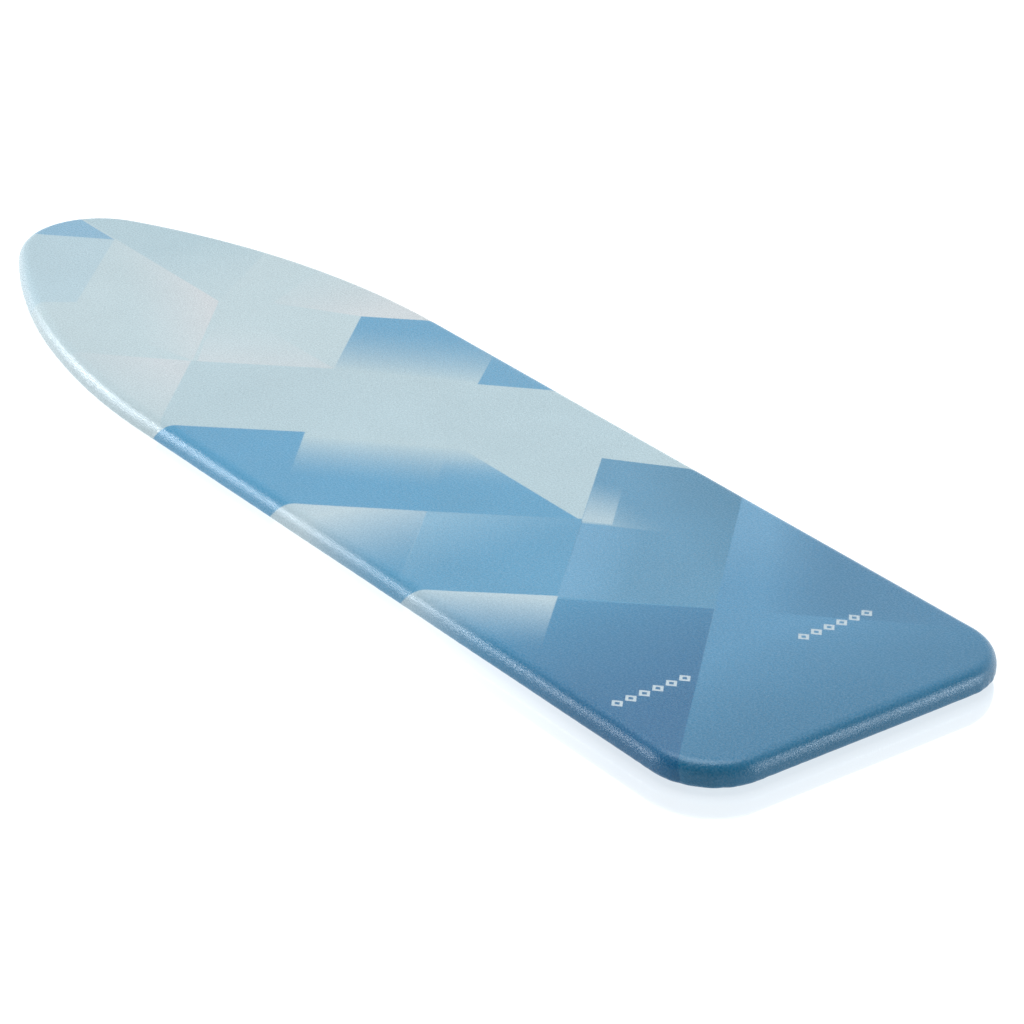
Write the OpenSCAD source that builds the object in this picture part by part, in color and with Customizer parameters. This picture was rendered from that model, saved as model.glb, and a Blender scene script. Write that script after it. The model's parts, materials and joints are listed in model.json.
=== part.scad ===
// Folding ironing board, legs folded flat under the padded and covered deck.
// Millimetres. +X points to the nose, +Y to the left of someone looking at the nose, +Z up.
// The origin is on the floor, under the middle of the deck.

/* [Deck] */
// Length of the covered deck, tail to nose
board_len = 1300; // [1280:5:1320]
// Width across the tail corners
tail_w = 388; // [382:2:392]
// Width at the shoulders, where the deck begins to narrow
shoulder_w = 380; // [376:2:384]
// Radius of the tail corners
corner_r = 66; // [55:1:75]
// Radius of the long shoulder curves
shoulder_r = 770; // [740:10:800]
// Radius of the nose tip
nose_r = 88; // [80:1:95]
// Height of the top of the cover above the floor when folded
top_z = 30; // [30:0.5:32]
// Height of the covered edge
edge_h = 24; // [23:0.5:24]

/* [Legs] */
// Pivot to foot length of each leg frame
leg_len = 1040; // [1030:2:1044]
// Pivot to crossing length, the same on both frames
cross_len = 500; // [496:1:502]
// Position of the fixed leg pivot along the deck
pivot_x = -540; // [-542:1:-538]
// Height of the leg tubes and pivots when folded
leg_z = 11; // [11:0.1:11.2]
// Outer radius of the leg and foot tubes
tube_r = 9; // [8.5:0.1:9]
// Distance from the middle to each outer leg tube
outer_y = 72; // [71:0.5:73]
// Distance from the middle to each inner leg tube
inner_y = 48; // [47:0.5:49]
// Half width of the front foot
front_half = 94; // [90:1:95]
// Half width of the rear foot
rear_half = 160; // [140:1:162]
// Radius of the foot caps
cap_r = 11; // [10.5:0.1:11]
// How far the legs unfold, in degrees, as drawn
unfold = 0; // [0:1:52]

/* [Height lock] */
// Radius of the slide rod
rod_r = 3; // [2.8:0.1:3]
// Height of the slide rod
rod_z = 15.4; // [15.3:0.1:15.6]
// Lean of the jam plate when the lever is free, in degrees
plate_lean = 8; // [6:0.5:8]

/* [Hidden] */

round_fn = 48;      // facets drawn round a circle
fit = 0.05;         // radial running clearance
half_l = board_len / 2;

// Plan outline: a tail corner arc, a shoulder arc and the nose arc, mirrored about X.
corner_c = [-half_l + corner_r, tail_w / 2 - corner_r];
join_a = asin((shoulder_r - shoulder_w / 2) / (shoulder_r - nose_r));
nose_c = [half_l - nose_r, 0];
shoulder_c = nose_c + (nose_r - shoulder_r) * [cos(join_a), sin(join_a)];
centre_gap = shoulder_c - corner_c;
side_a = atan2(centre_gap[1], centre_gap[0])
    + acos((corner_r - shoulder_r) / norm(centre_gap));

// Deck layers, as heights above the floor
cover_t = 1;
foam_top = top_z - cover_t - 0.1;
felt_top = 26.5;
mesh_top = 25;
mesh_t = 1;
mesh_bottom = mesh_top - mesh_t;
rail_t = 1.5;
rail_bottom = mesh_bottom - rail_t;
hem_z = top_z - edge_h;
rim_inset = 4;
rim_t = 1.6;
rim_bottom = hem_z + 2.5;
pad_inset = 5.4;
casing_inset = 24;
casing_r = 3;
casing_z = hem_z + casing_r;
casing_gap = 32;

tube_bore = tube_r - 1;
pin_r = 4;
axle_r = 4;
brace_r = 2.5;
brace_z = leg_z - 1.5;
head_r = 6.5;
head_t = 1.5;
slide_x = pivot_x + 2 * cross_len;
crossing_x = pivot_x + cross_len;
front_x = pivot_x + leg_len;
rear_x = slide_x - leg_len;
eye_y = tube_r;     // half width of a knuckle
rear_cap_len = 34;
front_cap_len = front_half - outer_y - tube_r - 1;

bracket_half_x = 16;
bracket_t = 2;
bracket_gap = 0.6;
bracket_ear = 15;
rivet_r = 3;

housing_x = [4, 48];
housing_half_y = 16;
housing_bottom = 4.5;
rod_back_x = housing_x[0] - 9;
plate_x = 31;
plate_pivot_z = 7.5;
plate_t = 2;
plate_z = [plate_pivot_z, 20];
lever_x = 25;
lever_y = 21;
lever_z = [20.3, 21.7];
grip_y = [98, 156];
catch_x = -478;
catch_z = [3.2, 6.6];
catch_len = 34;
lower_brace_x = -500;
upper_brace_x = 240;
lock_x = -621;
lock_half_y = 10;
cord_r = 1.5;

function arc(c, r, a0, a1, n, first = 0) =
    [for (i = [first:n]) let (a = a0 + (a1 - a0) * i / n) c + r * [cos(a), sin(a)]];

// Left half of the deck outline, from tail to nose, moved inward by d
function half_outline(d) = concat(
    arc(corner_c, corner_r - d, 180, side_a, 8),
    arc(shoulder_c, shoulder_r - d, side_a, join_a, 14),
    arc(nose_c, nose_r - d, join_a, 0, 10, 1));

function flipped(points) =
    [for (i = [len(points) - 2:-1:0]) [points[i][0], -points[i][1]]];

function outline(d) = let (half = half_outline(d)) concat(half, flipped(half));

function at_height(points, z) = [for (p = points) [p[0], p[1], z]];

function strip_faces(n, k0, k1) = [for (i = [0:n - 1]) let (j = (i + 1) % n)
    [k0 * n + j, k0 * n + i, k1 * n + i, k1 * n + j]];

function flat(lists) = [for (list = lists) for (item = list) item];

// Solid of the deck's outline through a chain of [inset, height] pairs, capped at both ends
module loft(chain) {
    rings = [for (p = chain) at_height(outline(p[0]), p[1])];
    n = len(rings[0]);
    m = len(rings);
    polyhedron(flat(rings), concat(
        [[for (i = [0:n - 1]) i]],
        flat([for (k = [0:m - 2]) strip_faces(n, k, k + 1)]),
        [[for (i = [n - 1:-1:0]) (m - 1) * n + i]]), convexity = 8);
}

// Round tube swept along a list of points, with flat ends
function unit(v) = v / norm(v);
function heading(path, i) = unit(path[min(i + 1, len(path) - 1)] - path[max(i - 1, 0)]);

module sweep(path, r, sides) {
    m = len(path);
    points = [for (i = [0:m - 1]) let (
            along = heading(path, i),
            side = unit(cross([0, 0, 1], along)),
            over = cross(along, side))
        for (s = [0:sides - 1]) let (a = 360 * s / sides)
            path[i] + r * (cos(a) * side + sin(a) * over)];
    polyhedron(points, concat(
        [[for (s = [0:sides - 1]) s]],
        [for (i = [0:m - 2]) for (s = [0:sides - 1]) let (t = (s + 1) % sides)
            [i * sides + t, i * sides + s, (i + 1) * sides + s, (i + 1) * sides + t]],
        [[for (s = [sides - 1:-1:0]) (m - 1) * sides + s]]), convexity = 8);
}

// Rotation of a leg frame about a pivot that lies along Y
module turned(x, z, angle) {
    translate([x, 0, z]) rotate([0, angle, 0]) translate([-x, 0, -z]) children();
}

module rod_x(x0, x1, y, z, r, fn = round_fn) {
    translate([x0, y, z]) rotate([0, 90, 0]) cylinder(h = x1 - x0, r = r, $fn = fn);
}

module rod_y(x, y0, y1, z, r, fn = round_fn) {
    translate([x, y0, z]) rotate([-90, 0, 0]) cylinder(h = y1 - y0, r = r, $fn = fn);
}

module rod_z(x, y, z0, z1, r, fn = round_fn) {
    translate([x, y, z0]) cylinder(h = z1 - z0, r = r, $fn = fn);
}

module box(x, y, z) {
    translate([x[0], y[0], z[0]]) cube([x[1] - x[0], y[1] - y[0], z[1] - z[0]]);
}

module slab(d, z0, z1) {
    translate([0, 0, z0]) linear_extrude(z1 - z0) polygon(outline(d));
}

// ---- Soft layers -------------------------------------------------------------------------

// Fitted cover: flat top, rounded edge and a hem that turns in under the rim
module cover() {
    outer = [[11, 0], [7.2, -0.7], [3.6, -2.5], [1.2, -5.4], [0.2, -9], [0, -13], [0.2, -18],
        [1.2, -21.4], [3.5, -23.4], [6.5, -edge_h], [21, -edge_h]];
    inner = [[21, -edge_h + 1], [6.6, -edge_h + 1], [4.2, -22.6], [2.2, -20.8], [1.2, -17.8],
        [1, -13], [1.2, -9], [2.2, -5.8], [4.4, -3.2], [7.6, -1.5], [11, -cover_t]];
    color("steelblue") translate([0, 0, top_z]) loft(concat(outer, inner));
}

module foam_pad() {
    color("whitesmoke") loft([[12, foam_top], [8.2, foam_top - 0.7], [pad_inset, felt_top]]);
}

module felt_underlay() {
    color("gainsboro") slab(pad_inset, mesh_top, felt_top);
}

// Deck outline at the hem, opened at the middle of the tail, from the left end to the right
function casing_path() = let (line = at_height(outline(casing_inset), casing_z))
    concat([[line[0][0], casing_gap, casing_z]], line, [[line[0][0], -casing_gap, casing_z]]);

module hem_casing() {
    color("steelblue") difference() {
        sweep(casing_path(), casing_r, 10);
        sweep(drawstring_path(), casing_r - 0.8, 10);
    }
}

// The cord runs round the hem; its ends pass the lock one above the other
function drawstring_path() = concat(
    [[lock_x, -25, casing_z + 2], [lock_x, -lock_half_y, casing_z + 2],
        [lock_x, lock_half_y, casing_z + 2], [lock_x - 3, 22, casing_z + 0.6]],
    casing_path(),
    [[lock_x - 3, -22, casing_z - 0.6], [lock_x, -lock_half_y, casing_z - 2],
        [lock_x, lock_half_y, casing_z - 2], [lock_x, 25, casing_z - 2]]);

module drawstring() {
    color("white") {
        sweep(drawstring_path(), cord_r, 8);
        translate([lock_x, -27, casing_z + 2]) sphere(r = 3, $fn = 24);
        translate([lock_x, 27, casing_z - 2]) sphere(r = 3, $fn = 24);
    }
}

module cord_lock_body() {
    color("slategray") difference() {
        box([lock_x - 4.5, lock_x + 9.5], [-lock_half_y, lock_half_y], [4, 14.5]);
        for (side = [-1, 1])
            rod_y(lock_x, -lock_half_y - 1, lock_half_y + 1, casing_z - 2 * side, cord_r + 0.2);
        rod_x(lock_x + 5, lock_x + 10, 0, casing_z, 3.6);
    }
}

module cord_lock_button() {
    color("lightgray") {
        rod_x(lock_x + 9, lock_x + 15, 0, casing_z, 3.5);
        rod_x(lock_x + 14, lock_x + 17, 0, casing_z, 5);
    }
}

// ---- Deck structure ------------------------------------------------------------------------

// Half width of the deck at x, on its straight side and its shoulder arc
function deck_half(x) = let (past = max(x - shoulder_c[0], 0))
    shoulder_c[1] + sqrt(shoulder_r * shoulder_r - past * past);

// Steel sheet with rows of steam holes
module deck_mesh() {
    pitch = 42;
    hole_r = 15;
    margin = 38;
    color("white") difference() {
        slab(rim_inset + rim_t, mesh_bottom, mesh_top);
        for (i = [-14:14], j = [-4:4])
            if (abs(j) * pitch < deck_half(i * pitch) - margin + hole_r / 2)
                rod_z(i * pitch, j * pitch, mesh_bottom - 1, mesh_top + 1, hole_r, 24);
    }
}

// Rolled channel round the deck: an upright wall with a lip turned in along its lower edge
module deck_rim() {
    lip_w = 12;
    color("white") {
        difference() {
            slab(rim_inset, rim_bottom, mesh_top);
            slab(rim_inset + rim_t, rim_bottom + rim_t, mesh_top + 1);
            slab(rim_inset + lip_w, rim_bottom - 1, mesh_top + 1);
        }
    }
}

module cross_rail(x0, x1) {
    color("white") intersection() {
        box([x0, x1], [-tail_w, tail_w], [rail_bottom, mesh_bottom]);
        slab(rim_inset + rim_t, rail_bottom, mesh_bottom);
    }
}

module rear_plate() { cross_rail(pivot_x - 20, catch_x + 14); }
module centre_rail() { cross_rail(-250, -220); }
module lock_rail() { cross_rail(-10, 62); }
module front_rail() { cross_rail(310, 338); }

// Clevis that straddles one outer leg knuckle, with an ear riveted to the rear plate
module pivot_bracket(side) {
    web_z = leg_z + eye_y + 0.4;
    inner = outer_y - eye_y - bracket_gap - bracket_t;
    outer = outer_y + eye_y + bracket_gap;
    x = [pivot_x - bracket_half_x, pivot_x + bracket_half_x];
    color("silver") scale([1, side, 1]) difference() {
        union() {
            box(x, [inner, outer + bracket_ear], [web_z, rail_bottom]);
            for (y = [inner, outer]) {
                box(x, [y, y + bracket_t], [leg_z, rail_bottom]);
                rod_y(pivot_x, y, y + bracket_t, leg_z, 8);
            }
        }
        rod_y(pivot_x, inner - 1, outer + bracket_t + 1, leg_z, pin_r);
    }
}

module pivot_pin(side) {
    inner = outer_y - eye_y - bracket_gap - bracket_t;
    outer = outer_y + eye_y + bracket_gap + bracket_t;
    color("lightgray") scale([1, side, 1]) {
        rod_y(pivot_x, inner, outer, leg_z, pin_r);
        rod_y(pivot_x, inner - head_t, inner, leg_z, head_r);
        rod_y(pivot_x, outer, outer + head_t, leg_z, head_r);
    }
}

// Rivet heads under the bracket ears and the lock housing flanges
module bracket_rivets() {
    web_z = leg_z + eye_y + 0.4;
    ear_y = outer_y + eye_y + bracket_gap + bracket_t + 8;
    color("silver") {
        for (side = [-1, 1], dx = [-9, 9])
            rod_z(pivot_x + dx, side * ear_y, web_z - 1.4, web_z, rivet_r);
        for (x = [housing_x[0] - 5, housing_x[1] + 5], side = [-1, 1])
            rod_z(x, side * 10, web_z - 1.4, web_z, rivet_r);
    }
}

module catch_post() {
    foot_z = catch_z[0] - 1.4;
    color("lightgray") {
        rod_z(catch_x, 0, foot_z, rail_bottom, 3);
        rod_z(catch_x, 0, foot_z, catch_z[0] - 0.2, 5.5);
        rod_z(catch_x, 0, catch_z[1] + 0.2, rail_bottom, 5);
    }
}

// Turn button: a quarter turn brings its finger under the lower brace of the inner leg
module transport_catch() {
    color("steelblue") difference() {
        union() {
            rod_z(catch_x, 0, catch_z[0], catch_z[1], 8);
            box([catch_x - 6, catch_x + 6], [0, catch_len - 6], catch_z);
            rod_z(catch_x, catch_len - 6, catch_z[0], catch_z[1], 6);
        }
        rod_z(catch_x, 0, 0, 10, 3 + fit);
    }
}

// ---- Outer leg frame -----------------------------------------------------------------------

module tube_x(x0, x1, y) {
    difference() {
        rod_x(x0, x1, y, leg_z, tube_r);
        rod_x(x0 - 1, x1 + 1, y, leg_z, tube_bore);
    }
}

// Moulded end of a leg tube: a round eye on the pivot and a spigot inside the tube
module knuckle(x, y, towards, bore) {
    spigot = 30;
    difference() {
        union() {
            rod_y(x, y - eye_y, y + eye_y, leg_z, tube_r);
            rod_x(min(x, x + towards * 14), max(x, x + towards * 14), y, leg_z, tube_r);
            rod_x(min(x, x + towards * spigot), max(x, x + towards * spigot), y, leg_z, tube_bore);
        }
        rod_y(x, y - eye_y - 1, y + eye_y + 1, leg_z, bore);
    }
}

module outer_leg_tube(side) {
    y = side * outer_y;
    color("white") difference() {
        tube_x(pivot_x + 14, front_x, y);
        rod_y(crossing_x, y - 20, y + 20, leg_z, pin_r);
        rod_y(front_x, y - 20, y + 20, leg_z, tube_r);
    }
}

module outer_knuckle(side) {
    color("slategray") knuckle(pivot_x, side * outer_y, 1, pin_r + fit);
}

module foot_bar(x, half) {
    color("white") difference() {
        rod_y(x, -half + 3, half - 3, leg_z, tube_r);
        rod_y(x, -half, half, leg_z, tube_bore);
    }
}

// Round rubber cap over one end of a foot bar, closed at its outer end
module foot_cap(x, half, length, side) {
    edge_r = 3;
    corner = [cap_r - edge_r, length - edge_r];
    profile = concat([[tube_r, 0], [cap_r, 0]], arc(corner, edge_r, 0, 90, 5),
        [[0, length], [0, length - 3], [tube_r, length - 3]]);
    color("dimgray") scale([1, side, 1]) translate([x, half - length, leg_z])
        rotate([-90, 0, 0]) rotate_extrude($fn = round_fn) polygon(profile);
}

module crossing_pin(side) {
    inner = inner_y - tube_r;
    outer = outer_y + tube_r;
    color("lightgray") scale([1, side, 1]) {
        rod_y(crossing_x, inner - head_t - 0.2, outer + head_t, leg_z, pin_r);
        rod_y(crossing_x, inner - head_t - 0.2, inner - 0.2, leg_z, head_r);
        rod_y(crossing_x, outer, outer + head_t, leg_z, head_r);
    }
}

module crossing_spacers() {
    gap = [inner_y + tube_r + 0.3, outer_y - tube_r];
    color("slategray") for (side = [-1, 1]) scale([1, side, 1]) difference() {
        rod_y(crossing_x, gap[0], gap[1], leg_z, 8);
        rod_y(crossing_x, gap[0] - 1, gap[1] + 1, leg_z, pin_r);
    }
}

// ---- Inner leg frame -----------------------------------------------------------------------

module inner_leg_tube(side) {
    y = side * inner_y;
    color("white") difference() {
        tube_x(rear_x, slide_x - 14, y);
        rod_y(crossing_x, y - 20, y + 20, leg_z, pin_r + fit);
        rod_y(rear_x, y - 20, y + 20, leg_z, tube_r);
        for (x = [lower_brace_x, upper_brace_x])
            rod_y(x, -inner_y, inner_y, brace_z, brace_r);
    }
}

module inner_knuckle(side) {
    color("slategray") knuckle(slide_x, side * inner_y, -1, axle_r);
}

module brace(x) {
    reach = inner_y - tube_r + 3;
    color("white") rod_y(x, -reach, reach, brace_z, brace_r);
}

module slide_axle() {
    reach = inner_y + eye_y;
    color("lightgray") {
        rod_y(slide_x, -reach, reach, leg_z, axle_r);
        for (side = [-1, 1]) scale([1, side, 1])
            rod_y(slide_x, reach, reach + head_t, leg_z, head_r);
    }
}

// ---- Slide and height lock -----------------------------------------------------------------

// Block that joins the slide rod to the axle at the top of the inner legs
module slide_head() {
    hub_y = inner_y - eye_y - 0.5;
    block_y = 18;
    block_top = 20;
    color("slategray") difference() {
        union() {
            rod_y(slide_x, -hub_y, hub_y, leg_z, 8);
            box([slide_x - 16, slide_x], [-block_y, block_y], [5, block_top]);
            box([slide_x, slide_x + 6], [-block_y, block_y], [leg_z, block_top]);
        }
        rod_y(slide_x, -hub_y - 1, hub_y + 1, leg_z, axle_r + fit);
        rod_x(slide_x - 17, slide_x - 8, 0, rod_z, rod_r);
    }
}

module slide_rod() {
    color("lightgray") rod_x(rod_back_x, slide_x - 8, 0, rod_z, rod_r);
}

module rod_stop() {
    color("slategray") difference() {
        rod_x(rod_back_x - 4, housing_x[0] - 0.5, 0, rod_z, 4.6);
        rod_x(rod_back_x, housing_x[0], 0, rod_z, rod_r);
    }
}

// Open frame under the lock rail that guides the rod and holds the jam plate and lever pins
module lock_housing() {
    web_z = leg_z + eye_y + 0.4;
    side_top = 19.9;
    wall = 2;
    y = [-housing_half_y, housing_half_y];
    color("silver") difference() {
        union() {
            for (x = [housing_x[0], housing_x[1] - wall])
                box([x, x + wall], y, [housing_bottom, rail_bottom]);
            for (edge = [-housing_half_y, housing_half_y - wall])
                box(housing_x, [edge, edge + wall], [housing_bottom, side_top]);
            box([housing_x[0] - 10, housing_x[0]], y, [web_z, rail_bottom]);
            box([housing_x[1], housing_x[1] + 10], y, [web_z, rail_bottom]);
            box([lever_x - 5, lever_x + 5], [housing_half_y, lever_y + 5], [13, side_top]);
        }
        rod_x(housing_x[0] - 11, housing_x[1] + 11, 0, rod_z, rod_r + fit);
        rod_y(plate_x, y[0] - 1, y[1] + 1, plate_pivot_z, 1.5);
        rod_z(lever_x, lever_y, 12, 20, 2);
    }
}

// Coil round the rod that keeps the jam plate leaning
module lock_spring() {
    turns = 5;
    coil_r = 4.4;
    wire_r = 0.5;
    x = [plate_x + 1.8, housing_x[1] - 2.6];
    steps = 14 * turns;
    path = [for (i = [0:steps]) let (a = 360 * turns * i / steps)
        [x[0] + (x[1] - x[0]) * i / steps, coil_r * cos(a), rod_z + coil_r * sin(a)]];
    color("lightgray") coil(path, wire_r, 6);
}

// Round wire along a path that winds about X
module coil(path, r, sides) {
    m = len(path);
    points = [for (i = [0:m - 1]) let (
            along = heading(path, i),
            side = unit(cross([1, 0, 0], along)),
            over = cross(along, side))
        for (s = [0:sides - 1]) let (a = 360 * s / sides)
            path[i] + r * (cos(a) * side + sin(a) * over)];
    polyhedron(points, concat(
        [[for (s = [0:sides - 1]) s]],
        [for (i = [0:m - 2]) for (s = [0:sides - 1]) let (t = (s + 1) % sides)
            [i * sides + t, i * sides + s, (i + 1) * sides + s, (i + 1) * sides + t]],
        [[for (s = [sides - 1:-1:0]) (m - 1) * sides + s]]), convexity = 8);
}

module jam_plate_pin() {
    color("lightgray") rod_y(plate_x, -housing_half_y, housing_half_y, plate_pivot_z, 1.5);
}

module jam_plate() {
    color("silver") turned(plate_x, plate_pivot_z, -plate_lean) difference() {
        union() {
            box([plate_x - plate_t / 2, plate_x + plate_t / 2], [-12, 12], plate_z);
            rod_y(plate_x, -12, 12, plate_pivot_z, 2.8);
        }
        rod_x(plate_x - 4, plate_x + 4, 0, rod_z, rod_r + 0.35);
        rod_y(plate_x, -13, 13, plate_pivot_z, 1.5 + fit);
    }
}

module lever_pin() {
    color("lightgray") rod_z(lever_x, lever_y, 13, rail_bottom, 2);
}

// Flat lever over the leg tubes, with a tab that pushes the jam plate upright
module height_lever() {
    tab_x = plate_x - 4.7;
    color("silver") difference() {
        union() {
            box([lever_x - 6, lever_x + 6], [5.5, grip_y[1] - 9], lever_z);
            box([tab_x, tab_x + 1.6], [5.5, 12], [14.5, lever_z[0]]);
            rod_z(lever_x, grip_y[1] - 9, lever_z[0], lever_z[1], 6);
        }
        rod_z(lever_x, lever_y, 19, 23, 2 + fit);
    }
}

module lever_grip() {
    grip_r = 9;
    color("steelblue") {
        box([lever_x - grip_r, lever_x + grip_r], [grip_y[0], grip_y[1] - grip_r], [7, lever_z[0]]);
        rod_z(lever_x, grip_y[1] - grip_r, 7, lever_z[0], grip_r);
    }
}

// ---- Assembly --------------------------------------------------------------------------------

module on_outer() { turned(pivot_x, leg_z, unfold) children(); }
module on_inner() { on_outer() turned(crossing_x, leg_z, -2 * unfold) children(); }
module on_slide() { on_inner() turned(slide_x, leg_z, unfold) children(); }

cover();
foam_pad();
felt_underlay();
hem_casing();
drawstring();
cord_lock_body();
cord_lock_button();
deck_mesh();
deck_rim();
rear_plate();
centre_rail();
lock_rail();
front_rail();
pivot_bracket(1);  // pivot_bracket_left
pivot_bracket(-1);  // pivot_bracket_right
pivot_pin(1);  // pivot_pin_left
pivot_pin(-1);  // pivot_pin_right
bracket_rivets();
catch_post();
transport_catch();
on_outer() outer_leg_tube(1);  // outer_leg_tube_left
on_outer() outer_leg_tube(-1);  // outer_leg_tube_right
on_outer() outer_knuckle(1);  // outer_knuckle_left
on_outer() outer_knuckle(-1);  // outer_knuckle_right
on_outer() foot_bar(front_x, front_half);  // front_foot_bar
on_outer() foot_cap(front_x, front_half, front_cap_len, 1);  // front_foot_cap_left
on_outer() foot_cap(front_x, front_half, front_cap_len, -1);  // front_foot_cap_right
on_outer() crossing_pin(1);  // crossing_pin_left
on_outer() crossing_pin(-1);  // crossing_pin_right
on_outer() crossing_spacers();
on_inner() inner_leg_tube(1);  // inner_leg_tube_left
on_inner() inner_leg_tube(-1);  // inner_leg_tube_right
on_inner() inner_knuckle(1);  // inner_knuckle_left
on_inner() inner_knuckle(-1);  // inner_knuckle_right
on_inner() foot_bar(rear_x, rear_half);  // rear_foot_bar
on_inner() foot_cap(rear_x, rear_half, rear_cap_len, 1);  // rear_foot_cap_left
on_inner() foot_cap(rear_x, rear_half, rear_cap_len, -1);  // rear_foot_cap_right
on_inner() brace(upper_brace_x);  // upper_brace
on_inner() brace(lower_brace_x);  // lower_brace
on_inner() slide_axle();
on_slide() slide_head();
on_slide() slide_rod();
on_slide() rod_stop();
lock_housing();
lock_spring();
jam_plate_pin();
jam_plate();
lever_pin();
height_lever();
lever_grip();
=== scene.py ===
"""Looks of a folding ironing board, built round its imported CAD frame. Lengths are metres."""
import json
import math

import bmesh
import bpy
import numpy as np
from mathutils import Matrix, Vector


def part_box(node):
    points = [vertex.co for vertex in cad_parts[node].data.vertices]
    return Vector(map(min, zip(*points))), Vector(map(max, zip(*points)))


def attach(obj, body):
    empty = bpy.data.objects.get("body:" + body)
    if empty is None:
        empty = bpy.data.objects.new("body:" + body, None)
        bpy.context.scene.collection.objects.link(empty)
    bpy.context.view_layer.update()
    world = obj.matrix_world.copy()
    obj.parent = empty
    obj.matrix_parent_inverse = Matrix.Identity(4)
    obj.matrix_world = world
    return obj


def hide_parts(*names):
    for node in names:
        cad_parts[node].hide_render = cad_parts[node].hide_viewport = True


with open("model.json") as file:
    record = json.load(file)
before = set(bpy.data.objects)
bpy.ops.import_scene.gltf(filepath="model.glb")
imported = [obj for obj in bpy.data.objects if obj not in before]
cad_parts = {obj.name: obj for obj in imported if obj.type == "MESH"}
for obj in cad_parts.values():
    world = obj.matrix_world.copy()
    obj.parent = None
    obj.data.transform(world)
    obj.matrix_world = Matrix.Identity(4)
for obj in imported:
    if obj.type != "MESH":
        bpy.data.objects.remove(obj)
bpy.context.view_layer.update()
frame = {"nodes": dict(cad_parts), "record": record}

MM = 0.001
COVER_LOW, COVER_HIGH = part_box("cover")

# Plan outline of the deck, as in the CAD source
HALF_L = COVER_HIGH.x
CORNER_R, SHOULDER_R, NOSE_R = 0.066, 0.770, 0.088
TAIL_HALF, SHOULDER_HALF = 0.194, 0.190
TAIL_STEPS = 40
TOP_Z, HEM_Z = COVER_HIGH.z, COVER_LOW.z

TOP_INSET = 0.013       # where the flat top meets the rounded edge
EDGE_MID_Z = 0.012      # widest line of the covered edge
FULLNESS = 0.87         # how full the rounded edge is: 1 is an ellipse, less is squarer
TUCK_INSET = 0.0065     # where the lower edge turns in to the hem
HEM_INSET = 0.023       # inner end of the hem
EDGE_CREASE_Z = 0.011   # middle of the small creases round the side
CASING_INSET, CASING_R = 0.024, 0.003
CASING_Z = HEM_Z + CASING_R
CASING_GAP = 0.032      # half of the gap in the casing at the tail
GATHER_DEPTH = 0.0011
CORD_R = 0.0015
BRAID_PITCH = 0.0026    # one strand to the next, along the cord
THREAD_PITCH = 0.0007   # of the cover's weave
HOLLOW_DEPTH = 0.0004   # of the padded top
HOLLOW_EASE = 0.020     # width over which the hollows die out at the edge
PAD_INSET = 0.0054
MESH_TOP, MESH_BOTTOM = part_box("deck_mesh")[1].z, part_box("deck_mesh")[0].z
FELT_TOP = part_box("felt_underlay")[1].z
FOAM_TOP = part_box("foam_pad")[1].z


# ---- Node helpers --------------------------------------------------------------------------

def add_node(tree, kind, inputs=None, **settings):
    """A shader node; inputs maps socket numbers or names to sockets or plain values."""
    made = tree.nodes.new("ShaderNode" + kind)
    for name, value in settings.items():
        setattr(made, name, value)
    for key, value in (inputs or {}).items():
        if isinstance(value, bpy.types.NodeSocket):
            tree.links.new(value, made.inputs[key])
        else:
            made.inputs[key].default_value = value
    return made


def calc(tree, operation, a, b=0.0):
    return add_node(tree, "Math", {0: a, 1: b}, operation=operation).outputs[0]


def times(tree, a, b):
    return calc(tree, "MULTIPLY", a, b)


def remap(tree, value, low, high, to_low=0.0, to_high=1.0):
    """value from low..high to to_low..to_high, held at the ends."""
    inputs = {"Value": value, "From Min": low, "From Max": high,
              "To Min": to_low, "To Max": to_high}
    return add_node(tree, "MapRange", inputs, clamp=True).outputs[0]


def mix(tree, factor, a, b):
    """a where factor is 0 and b where it is 1: sockets, linear colours or display colours."""
    ends = {key: linear(end) if isinstance(end, tuple) and len(end) == 3 else end
            for key, end in ((6, a), (7, b))}
    return add_node(tree, "Mix", {0: factor, **ends}, data_type="RGBA").outputs[2]


def noise(tree, place, scale, detail=2.0, rough=0.5):
    inputs = {"Vector": place, "Scale": scale, "Detail": detail, "Roughness": rough}
    return add_node(tree, "TexNoise", inputs).outputs[0]


def scaled(tree, place, factors):
    return add_node(tree, "VectorMath", {0: place, 1: factors}, operation="MULTIPLY").outputs[0]


def bumped(tree, height, distance, strength=1.0, under=None):
    inputs = {"Height": height, "Distance": distance, "Strength": strength}
    if under is not None:
        inputs["Normal"] = under
    return add_node(tree, "Bump", inputs).outputs[0]


def linear(rgb):
    """Display colour, 0 to 255, as linear light."""
    scaled_rgb = [c / 255 for c in rgb]
    parts = [c / 12.92 if c <= 0.04045 else ((c + 0.055) / 1.055) ** 2.4 for c in scaled_rgb]
    return (*parts, 1.0)


def start_material(name):
    """An empty node material, with its tree and the socket for object coordinates."""
    material = bpy.data.materials.new(name)
    material.use_nodes = True
    tree = material.node_tree
    tree.nodes.clear()
    return material, tree, add_node(tree, "TexCoord").outputs["Object"]


def end_material(material, colour, rough, normal, more=None):
    """Closes a material with the one shader that it shows. more holds its other inputs."""
    inputs = {"Base Color": colour, "Roughness": rough, "Normal": normal, **(more or {})}
    surface = add_node(material.node_tree, "BsdfPrincipled", inputs)
    add_node(material.node_tree, "OutputMaterial", {0: surface.outputs[0]})
    return material


# ---- Printed cover cloth -------------------------------------------------------------------

# How the lights show the top of the deck: what a white diffuser gives back, and the gloss
TOP_LIGHT = (1.435, 1.445, 1.485)
TOP_GLOSS = (0.099, 0.096, 0.079)


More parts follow.
